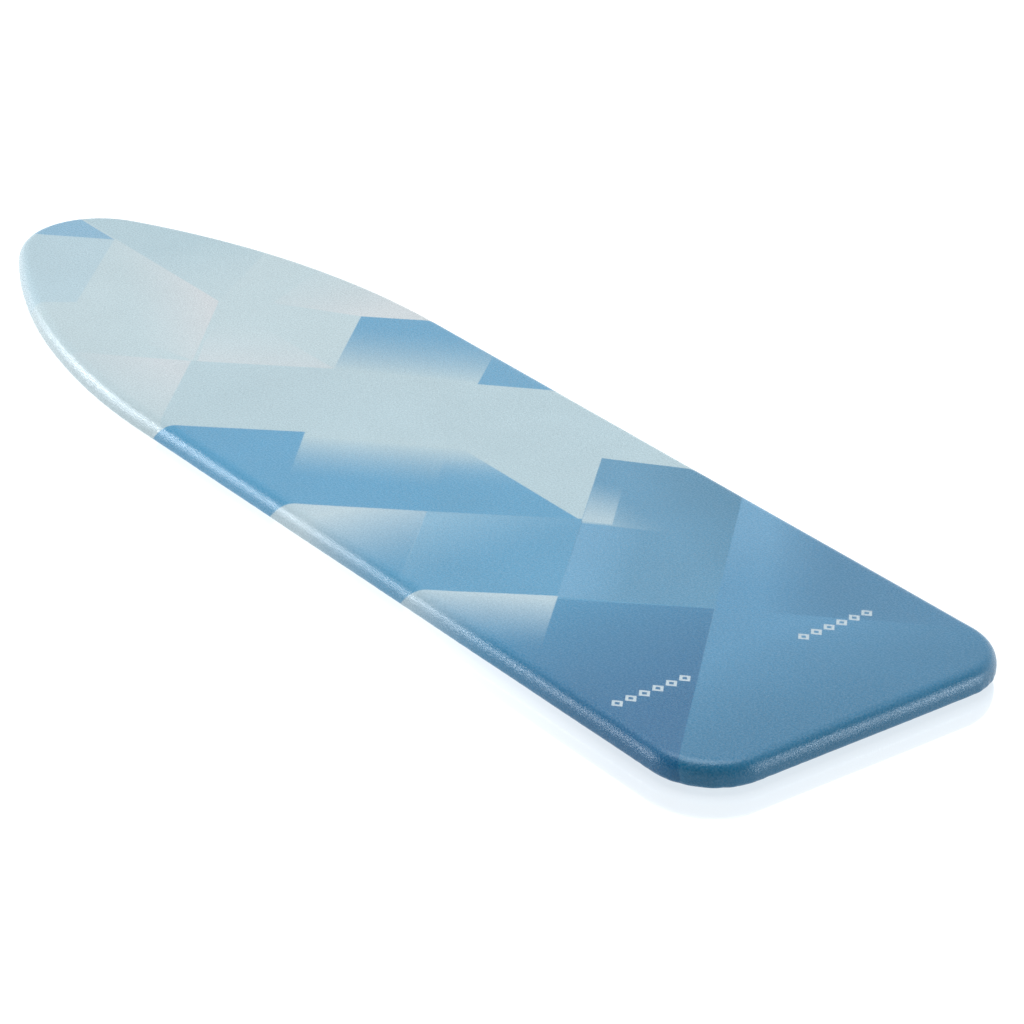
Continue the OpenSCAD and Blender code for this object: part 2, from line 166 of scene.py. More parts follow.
def printed(rgb):
    """Cloth colour that shows as this display colour on the lit deck."""
    shown = linear(rgb)[:3]
    parts = [max(0.004, (c - gloss) / light)
             for c, light, gloss in zip(shown, TOP_LIGHT, TOP_GLOSS)]
    return (*parts, 1.0)


# The print, in the order it is painted: corners in mm on the flat cloth, then layers of colour.
# A layer is a colour and, if it fades, where it starts to and where it has faded.
PRINT = [
    # pale middle
    ([(-700, 240), (122, 240), (270, 82), (147, -60), (-700, -60)], ((188, 210, 218),)),
    ([(-700, 0), (150, 0), (262, -127), (158, -240), (-700, -240)], ((188, 210, 218),)),
    # pale nose end
    ([(175, -28), (270, 82), (300, 45), (375, -25)], ((207, 217, 222), (210, 40), (300, -45))),
    ([(270, 80), (375, -25), (700, -25), (700, 200)], ((211, 218, 222), (375, -10), (413, 66))),
    ([(270, 82), (122, 240), (422, 240)], ((207, 217, 222), (270, 110), (270, 210))),
    ([(262, -127), (340, -70), (420, -240), (158, -240)],
     ((210, 218, 222), (262, -140), (400, -140))),
    ([(375, -25), (700, -25), (700, -240), (520, -240)],
     ((184, 208, 217), (520, -60), (330, -60))),
    ([(571, -24), (455, 100), (520, 200), (660, 120), (655, 67)], ((187, 211, 221),)),
    ([(570, -23), (655, 67), (700, 67), (700, -23)], ((147, 187, 212),)),
    # blue facets of the middle
    ([(175, -28), (262, -127), (158, -240), (-48, -240)],
     ((119, 170, 202), (194, -161), (120, -77))),
    ([(-48, -240), (65, -127), (155, -240)], ((123, 172, 203),)),
    ([(-240, -24), (-10, 240), (208, 240), (74, 81), (-30, -24)],
     ((115, 169, 203), (-60, 86), (4, 22))),
    ([(-222, -24), (-125, 80), (-22, -24)], ((116, 169, 202), (-130, 40), (-60, -10))),
    ([(-85, 240), (74, 81), (208, 240)], ((115, 169, 203),)),
    # mid-blue band
    ([(-427, -15), (-215, 240), (8, 240), (-225, -30)], ((117, 168, 200),)),
    ([(-225, -30), (-128, 85), (-262, 235), (-345, 100)],
     ((147, 188, 213), (-145, 60), (-240, 60))),
    ([(-128, 85), (8, 240), (-270, 240)], ((193, 213, 222), (-88, 120), (-215, 141))),
    ([(-427, -16), (-329, 90), (-134, -125), (-271, -240), (-480, -100)],
     ((117, 162, 191),), ((107, 150, 177), (-285, -190), (-250, -95))),
    ([(-427, -16), (-329, 90), (-229, -22), (-338, -120)],
     ((128, 174, 205), (-278, 33), (-323, -7))),
    ([(-338, -120), (-229, -22), (-134, -125), (-240, -213)],
     ((170, 199, 214), (-229, -22), (-234, -90))),
    ([(-226, -24), (-134, -125), (-155, -144), (-248, -43)],
     ((184, 207, 218), (-222, -30), (-168, -88))),
    # tail end
    ([(-700, 240), (-657, 240), (-224, -240), (-700, -240)],
     ((113, 160, 193),), ((98, 141, 171), (-640, 0), (-490, 0))),
    ([(-427, -15), (-224, -240), (-640, -240)], ((126, 172, 204), (-290, -190), (-430, -90)),
     ((103, 146, 177), (-455, -145), (-405, -95))),
    # dark facet at the tail
    ([(-659, 240), (-427, -15), (-201, 240)],
     ((106, 157, 191),), ((85, 130, 163), (-550, 0), (-340, 0))),
    ([(-328, 88), (-201, 240), (-465, 240)], ((191, 212, 222), (-340, 88), (-405, 153))),
]
PRINT_GROUND = (196, 215, 221)
FACET_EDGE = 0.0006     # half width of the line where two printed colours meet
PALE = 140              # facets with more red than this are paler than what they fade into
FADE_EASE = 1.5         # the pale colour gives way quickly at first

# Rows of small lozenges at the tail, along Y: middle x, first y and last y
LOZENGE_ROWS = [(-0.508, 0.083, 0.176), (-0.512, -0.132, -0.039)]
LOZENGE_PITCH, LOZENGE_HALF_X, LOZENGE_HALF_Y = 0.0155, 0.0068, 0.0066
LOZENGE_INK = (202, 217, 226)


def plane_height(tree, flat, way, start):
    """How far the flat cloth lies from start, along way and in its units."""
    plane = (way[0], way[1], -float(way @ start))
    found = add_node(tree, "VectorMath", {0: flat, 1: plane}, operation="DOT_PRODUCT")
    return found.outputs["Value"]


def facet_mask(tree, flat, corners):
    """1 inside a convex facet of the print and 0 outside."""
    points = np.array(corners) * MM
    middle = points.mean(0)
    nearest = None
    for here, after in zip(points, np.roll(points, -1, 0)):
        along = (after - here) / np.linalg.norm(after - here)
        inward = np.array([-along[1], along[0]])
        inward *= np.sign(inward @ (middle - here))
        room = plane_height(tree, flat, inward, here)
        nearest = room if nearest is None else calc(tree, "MINIMUM", nearest, room)
    return remap(tree, nearest, -FACET_EDGE, FACET_EDGE)


def fade(tree, flat, start, end, pale):
    """1 at start, falling to 0 at end."""
    start, end = np.array(start) * MM, np.array(end) * MM
    way = (end - start) / ((end - start) @ (end - start))
    share = remap(tree, plane_height(tree, flat, way, start), 0.0, 1.0, 1.0, 0.0)
    if pale:
        return calc(tree, "POWER", share, FADE_EASE)
    rest = calc(tree, "POWER", calc(tree, "SUBTRACT", 1.0, share), FADE_EASE)
    return calc(tree, "SUBTRACT", 1.0, rest)


def lozenges(tree, u, v, row):
    """A row of small lozenge outlines."""
    x, first, last = row
    turns = calc(tree, "DIVIDE", calc(tree, "SUBTRACT", v, first), LOZENGE_PITCH)
    across = calc(tree, "SUBTRACT", calc(tree, "FRACT", turns), 0.5)
    near_y = times(tree, calc(tree, "ABSOLUTE", across), LOZENGE_PITCH / LOZENGE_HALF_Y)
    near_x = calc(tree, "DIVIDE", calc(tree, "ABSOLUTE", calc(tree, "SUBTRACT", u, x)),
                  LOZENGE_HALF_X)
    reach = calc(tree, "ADD", near_x, near_y)
    inside = remap(tree, reach, 1.06, 0.98)
    core = remap(tree, reach, 0.40, 0.48)
    in_row = times(tree, calc(tree, "GREATER_THAN", v, first), calc(tree, "LESS_THAN", v, last))
    return times(tree, times(tree, inside, core), in_row)


def cloth_material():
    """Satin heat-reflecting cotton with a faceted print that follows the flat cloth."""
    material, tree, place = start_material("printed_cover_cloth")
    flat = add_node(tree, "Attribute", attribute_name="flat").outputs["Vector"]
    colour = printed(PRINT_GROUND)
    for corners, *layers in PRINT:
        facet = facet_mask(tree, flat, corners)
        for rgb, *fading in layers:
            mask = facet
            if fading:
                mask = times(tree, facet, fade(tree, flat, *fading, rgb[0] > PALE))
            colour = mix(tree, mask, colour, printed(rgb))
    parts = add_node(tree, "SeparateXYZ", {0: flat}).outputs
    u, v = parts[0], parts[1]
    for row in LOZENGE_ROWS:
        colour = mix(tree, lozenges(tree, u, v, row), colour, printed(LOZENGE_INK))
    cloud = remap(tree, noise(tree, flat, 9.0, 3.0), 0.3, 0.7, 0.97, 1.03)
    # grain is partly the weave's own mottle and partly painted sparkle: light specks added to
    # the colour stand in for glints of the heat-reflecting finish.
    grain = remap(tree, noise(tree, flat, 430.0, 2.0, 0.7), 0.3, 0.7, -0.028, 0.028)
    tone = add_node(tree, "VectorMath", {0: colour, 1: cloud}, operation="MULTIPLY")
    colour = add_node(tree, "VectorMath", {0: tone.outputs[0], 1: grain},
                      operation="ADD").outputs[0]
    weft, warp = [calc(tree, "SINE", times(tree, part, 2 * math.pi / THREAD_PITCH))
                  for part in (u, v)]
    weave = times(tree, weft, warp)
    slub = noise(tree, scaled(tree, flat, (260.0, 1400.0, 1.0)), 1.0, 2.0)
    normal = bumped(tree, weave, 0.00002, 0.5)
    normal = bumped(tree, slub, 0.00012, 0.6, normal)
    normal = bumped(tree, noise(tree, flat, 560.0, 2.0, 0.7), 0.00040, 0.8, normal)
    rough = remap(tree, noise(tree, flat, 520.0, 2.0), 0.35, 0.65, 0.14, 0.40)
    return end_material(material, colour, rough, normal, {
        "Specular IOR Level": 0.52, "Specular Tint": (0.75, 0.88, 1.0, 1.0)})


def thread_material():
    material, tree, place = start_material("sewing_thread")
    twist = calc(tree, "SINE", times(tree, noise(tree, place, 500.0), 60.0))
    # Painted shade: the thread is darker where its twist bump is low.
    shade = remap(tree, twist, -1.0, 1.0)
    colour = mix(tree, shade, (120, 150, 172), (196, 212, 222))
    return end_material(material, colour, 0.7, bumped(tree, twist, 0.00008))


def cord_material():
    """Round braid: two crossing families of strands, from the cord's own coordinates."""
    material, tree, place = start_material("braided_cord")
    parts = add_node(tree, "SeparateXYZ", {
        0: add_node(tree, "Attribute", attribute_name="braid").outputs["Vector"]}).outputs
    along = times(tree, parts[0], 2 * math.pi / BRAID_PITCH)
    round_turn = times(tree, parts[1], 4.0)
    right = calc(tree, "SINE", calc(tree, "ADD", along, round_turn))
    left = calc(tree, "SINE", calc(tree, "SUBTRACT", along, round_turn))
    strands = calc(tree, "MAXIMUM", right, left)
    # Painted shade: the grooves between strands, low in the bump, are darker in the cord's
    # colour.
    colour = mix(tree, remap(tree, strands, -0.2, 1.0), (150, 160, 168), (238, 241, 243))
    colour = mix(tree, remap(tree, noise(tree, place, 300.0), 0.4, 0.7, 0.0, 0.25), colour,
                 (190, 196, 200))
    return end_material(material, colour, 0.75, bumped(tree, strands, 0.0003),
                        {"Sheen Weight": 0.2})


def felt_material():
    material, tree, place = start_material("needled_felt")
    strands = noise(tree, scaled(tree, place, (500.0, 160.0, 500.0)), 1.0, 5.0, 0.7)
    tufts = noise(tree, place, 900.0, 4.0, 0.7)
    colour = mix(tree, remap(tree, strands, 0.3, 0.7), (164, 164, 160), (216, 216, 211))
    colour = mix(tree, remap(tree, noise(tree, place, 2200.0), 0.66, 0.74), colour,
                 (96, 118, 142))
    normal = bumped(tree, tufts, 0.0008, 0.8, bumped(tree, strands, 0.001, 0.8))
    return end_material(material, colour, 0.95, normal, {"Sheen Weight": 0.35})


def foam_material():
    material, tree, place = start_material("open_cell_foam")
    cells = add_node(tree, "TexVoronoi", {"Vector": place, "Scale": 1100.0}).outputs["Distance"]
    cloud = noise(tree, place, 60.0, 3.0)
    colour = mix(tree, remap(tree, cloud, 0.3, 0.7), (226, 224, 214), (243, 242, 236))
    # Painted shade: the pores, low in the bump, are darkened in the foam's colour.
    colour = mix(tree, remap(tree, cells, 0.5, 0.1, 0.0, 0.45), colour, (170, 168, 158))
    return end_material(material, colour, 0.9, bumped(tree, cells, 0.0006))


# ---- Hard materials ------------------------------------------------------------------------

def powder_coat(name, rgb, cloud_rgb):
    """Powder coat: orange peel, slight cloudiness and a few specks."""
    material, tree, place = start_material(name)
    peel = noise(tree, place, 620.0, 2.0, 0.5)
    cloud = remap(tree, noise(tree, place, 24.0, 4.0), 0.35, 0.7)
    colour = mix(tree, cloud, rgb, cloud_rgb)
    specks = remap(tree, noise(tree, place, 1500.0, 1.0), 0.70, 0.76, 0.0, 0.25)
    colour = mix(tree, specks, colour, (150, 152, 153))
    rough = remap(tree, noise(tree, place, 90.0, 3.0), 0.3, 0.7, 0.30, 0.44)
    return end_material(material, colour, rough, bumped(tree, peel, 0.00005, 0.6),
                        {"Coat Weight": 0.25, "Coat Roughness": 0.22})


def zinc_material():
    """Bright zinc plate: soft spangle, rolling marks and a faint blue cast."""
    material, tree, place = start_material("zinc_plate")
    grains = add_node(tree, "TexVoronoi", {"Vector": place, "Scale": 260.0}).outputs["Color"]
    grain = add_node(tree, "SeparateXYZ", {0: grains}).outputs[0]
    rolled = noise(tree, scaled(tree, place, (60.0, 1800.0, 400.0)), 1.0, 3.0)
    colour = mix(tree, grain, (184, 189, 193), (206, 210, 213))
    stain = remap(tree, noise(tree, place, 45.0, 4.0), 0.55, 0.75, 0.0, 0.35)
    colour = mix(tree, stain, colour, (176, 172, 158))
    rough = calc(tree, "ADD", remap(tree, grain, 0.0, 1.0, 0.28, 0.40),
                 remap(tree, rolled, 0.3, 0.7, -0.04, 0.06))
    normal = bumped(tree, rolled, 0.00010, 0.5, bumped(tree, grain, 0.00006, 0.4))
    return end_material(material, colour, rough, normal, {"Metallic": 1.0})


def bright_material():
    """Drawn bright steel: fine lines round the bar and a trace of handling marks."""
    material, tree, place = start_material("bright_drawn_steel")
    lines = noise(tree, scaled(tree, place, (2400.0, 300.0, 300.0)), 1.0, 2.0)
    marks = remap(tree, noise(tree, place, 120.0, 5.0), 0.55, 0.75, 0.0, 0.5)
    colour = mix(tree, marks, (215, 217, 219), (176, 178, 180))
    rough = calc(tree, "ADD", remap(tree, lines, 0.3, 0.7, 0.14, 0.24),
                 times(tree, marks, 0.12))
    return end_material(material, colour, rough, bumped(tree, lines, 0.00005, 0.4),
                        {"Metallic": 1.0})


def plastic_material(name, rgb, light_rgb, roughness):
    """Moulded plastic: fine spark-eroded grain, flow clouds and paler rubbed edges."""
    material, tree, place = start_material(name)
    grain = noise(tree, place, 1500.0, 3.0, 0.6)
    flow = remap(tree, noise(tree, scaled(tree, place, (20.0, 55.0, 55.0)), 1.0, 3.0), 0.3, 0.7)
    colour = mix(tree, times(tree, flow, 0.35), rgb, light_rgb)
    worn = add_node(tree, "NewGeometry").outputs["Pointiness"]
    colour = mix(tree, remap(tree, worn, 0.52, 0.60, 0.0, 0.4), colour, light_rgb)
    rough = remap(tree, noise(tree, place, 160.0, 3.0), 0.3, 0.7, roughness - 0.06,
                  roughness + 0.08)
    return end_material(material, colour, rough, bumped(tree, grain, 0.00016, 0.7))


def rubber_material():
    """Foot rubber: fine rings, dust in the matt surface and streaky scuffs."""
    material, tree, place = start_material("foot_rubber")
    along = add_node(tree, "SeparateXYZ", {0: place}).outputs[1]
    rings = calc(tree, "SINE", times(tree, along, 2 * math.pi / 0.0028))
    dust = remap(tree, noise(tree, place, 70.0, 5.0), 0.45, 0.75, 0.0, 0.30)
    colour = mix(tree, dust, (44, 46, 49), (104, 106, 107))
    scuffs = remap(tree, noise(tree, scaled(tree, place, (900.0, 120.0, 900.0)), 1.0), 0.6, 0.7)
    colour = mix(tree, times(tree, scuffs, 0.35), colour, (92, 94, 96))
    normal = bumped(tree, rings, 0.0002, 0.6, bumped(tree, noise(tree, place, 1300.0), 0.0001))
    rough = remap(tree, dust, 0.0, 0.3, 0.62, 0.82)
    return end_material(material, colour, rough, normal)


# ---- Deck outline --------------------------------------------------------------------------

def unit_rows(rows):
    return rows / np.linalg.norm(rows, axis=1)[:, None]


def stations(path):
    """Distance of each point along a path."""
    gaps = np.linalg.norm(np.diff(path, axis=0), axis=1)
    return np.concatenate([[0], np.cumsum(gaps)])


def arc(centre, radius, start, end, steps):
    """Rows of x, y and outward normal along an arc."""
    angle = np.linspace(start, end, steps + 1)
    normal = np.stack([np.cos(angle), np.sin(angle)], 1)
    return np.hstack([centre + radius * normal, normal])


def plan_loop():
    """Deck outline clockwise from the tail's left end, as x, y and outward normal.

    Returns the rows and how many of them make the left side, from tail to nose tip."""
    corner_c = np.array([CORNER_R - HALF_L, TAIL_HALF - CORNER_R])
    nose_c = np.array([HALF_L - NOSE_R, 0.0])
    reach = SHOULDER_R - NOSE_R
    join = math.asin((SHOULDER_R - SHOULDER_HALF) / reach)
    shoulder_c = nose_c - reach * np.array([math.cos(join), math.sin(join)])
    gap = shoulder_c - corner_c
    side = math.atan2(gap[1], gap[0])
    side += math.acos((CORNER_R - SHOULDER_R) / np.linalg.norm(gap))
    corner = arc(corner_c, CORNER_R, math.pi, side, 34)
    shoulder = arc(shoulder_c, SHOULDER_R, side, join, 120)
    nose = arc(nose_c, NOSE_R, join, 0.0, 30)
    straight = np.linspace(corner[-1], shoulder[0], 220)[1:-1]
    left = np.vstack([corner, straight, shoulder, nose[1:]])
    right = left[-2::-1] * (1, -1, 1, -1)
    tail_y = np.linspace(-corner_c[1], corner_c[1], TAIL_STEPS + 1)[1:-1]
    tail = np.stack([np.full_like(tail_y, -HALF_L), tail_y,
                     np.full_like(tail_y, -1.0), np.zeros_like(tail_y)], 1)
    return np.vstack([left, right, tail]), len(left)


LOOP, LEFT_N = plan_loop()
LOOP_N, SIDES_N = len(LOOP), 2 * LEFT_N - 1
STEP = np.linalg.norm(np.roll(LOOP[:, :2], -1, 0) - LOOP[:, :2], axis=1)
STATION = np.concatenate([[0], np.cumsum(STEP)[:-1]])
LOOP_LENGTH = STEP.sum()
TAIL_ROWS = np.arange(SIDES_N, LOOP_N)
# Rows of the tail on the left and on the right of the gap where the drawcord comes out
HEM_ENTRY = TAIL_ROWS[LOOP[TAIL_ROWS, 1] >= CASING_GAP]
HEM_LEAVE = TAIL_ROWS[LOOP[TAIL_ROWS, 1] <= -CASING_GAP]


def ring(inset, z):
    """Points round the deck, moved inward by inset; inset and z may vary round it."""
    xy = LOOP[:, :2] - np.broadcast_to(inset, LOOP_N)[:, None] * LOOP[:, 2:]
    return np.column_stack([xy, np.broadcast_to(z, LOOP_N)])


def loop_bend():
    """How tightly the outline turns, 0 on the straights and 1 at the corners and nose."""
    after = np.roll(LOOP[:, 2:], -1, 0)
    turn = np.arccos(np.clip((LOOP[:, 2:] * after).sum(1), -1, 1)) / STEP
    share = np.clip(turn * CORNER_R, 0, 1)
    width = 15
    wrapped = np.concatenate([share[-width:], share, share[:width]])
    return np.convolve(wrapped, np.ones(2 * width + 1) / (2 * width + 1), "valid")


def ripple(seed, counts):
    """A smooth, irregular wave round the loop, about -1 to 1."""
    random = np.random.RandomState(seed)
    turn = 2 * math.pi * STATION / LOOP_LENGTH
    total = sum(np.sin(n * turn + random.uniform(0, 2 * math.pi)) for n in counts)
    return total / math.sqrt(len(counts))


GATHER = (0.22 + 0.9 * loop_bend()) * ripple(4, (61, 83, 104, 127, 149, 171))
HEM_DROP = GATHER_DEPTH * GATHER    # how far the gathers hang down at the hem
SIDE_WAVE = ripple(9, (7, 11, 17, 23))
CREASE = (0.25 + 0.75 * loop_bend()) * ripple(15, (139, 178, 214, 251, 283))


def hollow(points, depth, inset):
    """Lowers points of a flat padded surface into slight hollows, none at its inset edge."""
    x, y = points[:, 0], points[:, 1]
    random = np.random.RandomState(12)
    total = np.zeros_like(x)
    for _ in range(9):
        angle, length = random.uniform(0, math.pi), random.uniform(0.10, 0.32)
        phase = random.uniform(0, 2 * math.pi)
        way = (x * math.cos(angle) + y * math.sin(angle)) / length
        total += np.sin(2 * math.pi * way + phase)
    sides = ring(inset, 0)[:LEFT_N]
    half = np.interp(x, sides[:, 0], sides[:, 1])
    room = np.minimum.reduce([half - np.abs(y), x + HALF_L - inset, HALF_L - inset - x])
    depths = depth * (np.clip(total / 6, -1, 1) - 1) / 2
    points[:, 2] += depths * np.clip(room / HOLLOW_EASE, 0, 1)


# ---- Mesh helpers --------------------------------------------------------------------------

def add_object(name, data):
    made = bpy.data.objects.new(name, data)
    bpy.context.scene.collection.objects.link(made)
    return made


def mesh_piece(name, points, faces, material, slot, node=None, smooth=True, **vectors):
    """A mesh that rides on the board and replaces a CAD node. vectors are point attributes."""
    mesh = bpy.data.meshes.new(name)
    mesh.from_pydata(np.asarray(points).tolist(), [], [list(map(int, f)) for f in faces])
    mesh.polygons.foreach_set("use_smooth", [smooth] * len(mesh.polygons))
    for label, values in vectors.items():
        attribute = mesh.attributes.new(label, "FLOAT_VECTOR", "POINT")
        attribute.data.foreach_set("vector", np.asarray(values, np.float32).ravel())
    mesh.materials.append(material)
    piece = add_object(name, mesh)
    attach(piece, "board")
    if node:
        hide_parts(node)
    return piece


def strips(rings, n, closed_chain=False):
    """Quads between successive closed rings of n points each."""
    here = np.arange(n)
    after = (here + 1) % n
    pairs = [(k, k + 1) for k in range(rings - 1)]
    if closed_chain:
        pairs.append((rings - 1, 0))
    return np.concatenate([
        np.stack([a * n + after, a * n + here, b * n + here, b * n + after], 1)
        for a, b in pairs])


def lid(edge, first_edge, first_new, upward=True):
    """Closes the loop of points edge with rows across the deck: extra points, and faces."""
    tip = LEFT_N - 1
    rows = np.arange(LEFT_N - 1)
    share = np.linspace(0, 1, TAIL_STEPS + 1)[None, :, None]
    left, right = edge[rows], edge[2 * tip - rows]
    points = left[:, None] * (1 - share) + right[:, None] * share
    grid = np.zeros((len(rows), TAIL_STEPS + 1), int)
    inner = TAIL_STEPS - 1
    grid[1:, 1:-1] = first_new + np.arange((len(rows) - 1) * inner).reshape(-1, inner)
    grid[0, 1:-1] = first_edge + LOOP_N - 1 - np.arange(inner)
    grid[:, 0] = first_edge + rows
    grid[:, -1] = first_edge + 2 * tip - rows
    quads = np.stack([grid[:-1, :-1], grid[:-1, 1:], grid[1:, 1:], grid[1:, :-1]], -1)
    fan = [[a, b, first_edge + tip] for a, b in zip(grid[-1, :-1], grid[-1, 1:])]
    faces = quads.reshape(-1, 4).tolist() + fan
    if not upward:
        faces = [face[::-1] for face in faces]
    return points[1:, 1:-1].reshape(-1, 3), faces


def tube(path, radius, sides, closed=False):
    """Points and quads of a round tube along a path, with its length and turn at each point.

    The frame is carried along without twist. radius may vary along the path."""
    path = np.asarray(path, float)
    n = len(path)
    along = np.roll(path, -1, 0) - np.roll(path, 1, 0)
    if not closed:
        along[0], along[-1] = path[1] - path[0], path[-1] - path[-2]
    along = unit_rows(along)
    side = np.cross(along[0], (0.0, 0.0, 1.0))
    if np.linalg.norm(side) < 0.1:
        side = np.cross(along[0], (0.0, 1.0, 0.0))
    sides_at = []
    for way in along:
        side = side - (side @ way) * way
        side /= np.linalg.norm(side)
        sides_at.append(side)
    sides_at = np.array(sides_at)
    over = np.cross(along, sides_at)
    turn = 2 * math.pi * np.arange(sides) / sides
    radius = np.broadcast_to(radius, n)[:, None, None]
    round_way = (np.cos(turn)[None, :, None] * sides_at[:, None]
                 + np.sin(turn)[None, :, None] * over[:, None])
    points = path[:, None] + radius * round_way
    braid = np.stack(np.broadcast_arrays(stations(path)[:, None], turn[None, :], 0.0), -1)
    faces = strips(n, sides, closed_chain=closed)[:, ::-1]
    return points.reshape(-1, 3), faces.tolist(), braid.reshape(-1, 3)


def caps(count, sides):
    """Polygons that close the first and the last ring of a chain of count points."""
    return [list(range(sides)), list(range(count - 1, count - sides - 1, -1))]


def capped_tube(path, radius, sides):
    """A tube closed at both ends by small domes."""
    path = np.asarray(path, float)
    first, last = radius * unit_rows(np.stack([path[0] - path[1], path[-1] - path[-2]]))
    rises = (0.95, 0.7, 0.38)
    ends = [radius * math.sqrt(1 - r * r) for r in rises]
    radii = np.concatenate([ends, np.full(len(path), radius), ends[::-1]])
    path = np.vstack([[path[0] + first * r for r in rises], path,
                      [path[-1] + last * r for r in rises[::-1]]])
    points, faces, braid = tube(path, radii, sides)
    return points, faces + caps(len(points), sides), braid


def joined(parts):
    """Several (points, faces, attribute) sets as one."""
    points, faces, values, first = [], [], [], 0
    for some_points, some_faces, some_values in parts:
        points.append(some_points)
        values.append(some_values)
        faces += [[i + first for i in face] for face in some_faces]
        first += len(some_points)
    return np.vstack(points), faces, np.vstack(values)


# ---- Soft layers ---------------------------------------------------------------------------

def gathering(inset):
    """How far the gathers have grown, 0 at the tuck and 1 at the inner end of the hem."""
    return ((inset - TUCK_INSET) / (HEM_INSET - TUCK_INSET)) ** 0.7


def cover_profile():
    """Chain of inset, height, gather weight and share of side wave, from the hem to the top."""
    chain = []
    for inset in np.linspace(HEM_INSET, TUCK_INSET, 9)[:-1]:
        rise = 0.00017 if inset == HEM_INSET else 0.0
        chain.append((inset, HEM_Z + rise, gathering(inset), 0.0))
    for turn in np.linspace(math.pi / 2, 0, 10)[:-1]:
        inset = TUCK_INSET * (1 - math.cos(turn) ** 0.8)
        z = EDGE_MID_Z - (EDGE_MID_Z - HEM_Z) * math.sin(turn) ** 0.8
        chain.append((inset, z, 0.0, math.cos(turn)))
    for turn in np.linspace(0, math.pi / 2, 14):
        inset = TOP_INSET * (1 - max(math.cos(turn), 0.0) ** FULLNESS)
        z = EDGE_MID_Z + (TOP_Z - EDGE_MID_Z) * math.sin(turn) ** FULLNESS
        chain.append((inset, z, 0.0, math.cos(turn)))
    return chain


def make_cover(cloth):
    """The stretched cloth: flat top, rounded edge and gathered hem under the rim."""
    chain = cover_profile()
    rings, rest = [], [(c[0], c[1]) for c in chain]
    for inset, z, gathered, wave in chain:
        z_here = np.clip(z - gathered * HEM_DROP, 0.0015, TOP_Z)
        low = math.exp(-((z - EDGE_CREASE_Z) / 0.006) ** 2) * (wave > 0)
        crease = np.maximum(0.00025 * GATHER + 0.0004 * CREASE, -0.0004) * low
        rings.append(ring(inset + 0.0002 + 0.0002 * wave * SIDE_WAVE
                          + np.maximum(crease, -inset), z_here))
    gaps = np.linalg.norm(np.diff(np.array(rest), axis=0), axis=1)
    beyond = np.concatenate([np.cumsum(gaps[::-1])[::-1], [0.0]])
    flat = [ring(TOP_INSET - further, 1.0) for further in beyond]
    count = len(rings)
    points, flats = np.vstack(rings), np.vstack(flat)
    faces = strips(count, LOOP_N).tolist()
    more, top = lid(rings[-1], (count - 1) * LOOP_N, len(points))
    hollow(more, HOLLOW_DEPTH, TOP_INSET)
    flats = np.vstack([flats, np.column_stack([more[:, :2], np.ones(len(more))])])
    cover = mesh_piece("cover_fabric", np.vstack([points, more]), faces + top, cloth,
                       "cover_fabric", "cover", flat=flats)
    return cover, beyond[0]


def stitch_template():
    """A short lens-shaped stitch along X, 1 long and 1 wide, pointing out along +Z."""
    sides = 6
    swell = ((-0.5, 0.25), (-0.3, 0.8), (0.0, 1.0), (0.3, 0.8), (0.5, 0.25))
    points = [(x, r * math.cos(turn) / 2, r * math.sin(turn) / 2)
              for x, r in swell for turn in 2 * math.pi * np.arange(sides) / sides]
    return np.array(points), strips(len(swell), sides).tolist() + caps(len(points), sides)


def make_hem_stitches(thread):
    """A row of stitches round the hem, just outside the drawcord casing."""
    length, pitch, width = 0.0030, 0.0044, 0.0007
    count = int(LOOP_LENGTH / pitch)
    place = (np.arange(count) + 0.5) / count * LOOP_LENGTH
    inset = 0.0198
    line = ring(inset, HEM_Z - gathering(inset) * HEM_DROP)

    def on_line(s):
        return np.stack([np.interp(s, STATION, part, period=LOOP_LENGTH) for part in line.T], 1)

    along = unit_rows(on_line(place + length / 2) - on_line(place - length / 2))
    down = np.array([0, 0, -1.0])
    across = unit_rows(np.cross(along, down))
    shape, faces = stitch_template()
    size = shape * (length, width, width * 0.8)
    points = (on_line(place)[:, None] + size[None, :, :1] * along[:, None]
              + size[None, :, 1:2] * across[:, None] + size[None, :, 2:] * down)
    all_faces = [[i + k * len(shape) for i in face] for k in range(count) for face in faces]
    return mesh_piece("hem_stitches", points.reshape(-1, 3), all_faces, thread, "cover_fabric")


def make_casing(cloth, reach):
    """The gathered tube of cloth at the hem that holds the drawcord, open at the tail."""
    sides = 14
    keep = np.concatenate([HEM_ENTRY, np.arange(SIDES_N), HEM_LEAVE])
    turn = 2 * math.pi * np.arange(sides) / sides
    place, outward = LOOP[keep][:, None, :2], LOOP[keep][:, None, 2:]
    pinch = np.clip(ripple(21, (160, 205, 240))[keep], -1, 1)
    radius = CASING_R * (0.93 + 0.07 * pinch)[:, None]
    inset = CASING_INSET - radius * np.cos(turn)
    z = CASING_Z + radius * np.sin(turn) - HEM_DROP[keep][:, None]
    points = np.dstack([place - inset[..., None] * outward, z]).reshape(-1, 3)
    round_cloth = (reach + CASING_R * turn - TOP_INSET)[:, None]
    flats = np.dstack([place + round_cloth * outward, np.ones_like(z)])
    casing = mesh_piece("hem_casing_fabric", points, strips(len(keep), sides), cloth,
                        "cover_fabric", "hem_casing", flat=flats)
    solid = casing.modifiers.new("cloth_thickness", "SOLIDIFY")
    solid.thickness = 0.0004
    solid.offset = -1.0
    return casing


def make_pad(name, chain, drop, material, slot, node):
    """A closed layer of the deck through a chain of inset and height, from bottom to top."""
    rings = [ring(inset, z) for inset, z in chain]
    points = np.vstack(rings)
    faces = strips(len(rings), LOOP_N).tolist()
    under, bottom = lid(rings[0], 0, len(points), upward=False)
    points = np.vstack([points, under])
    over, top = lid(rings[-1], (len(rings) - 1) * LOOP_N, len(points))
    hollow(over, drop, chain[-1][0])
    return mesh_piece(name, np.vstack([points, over]), faces + bottom + top, material, slot,
                      node)


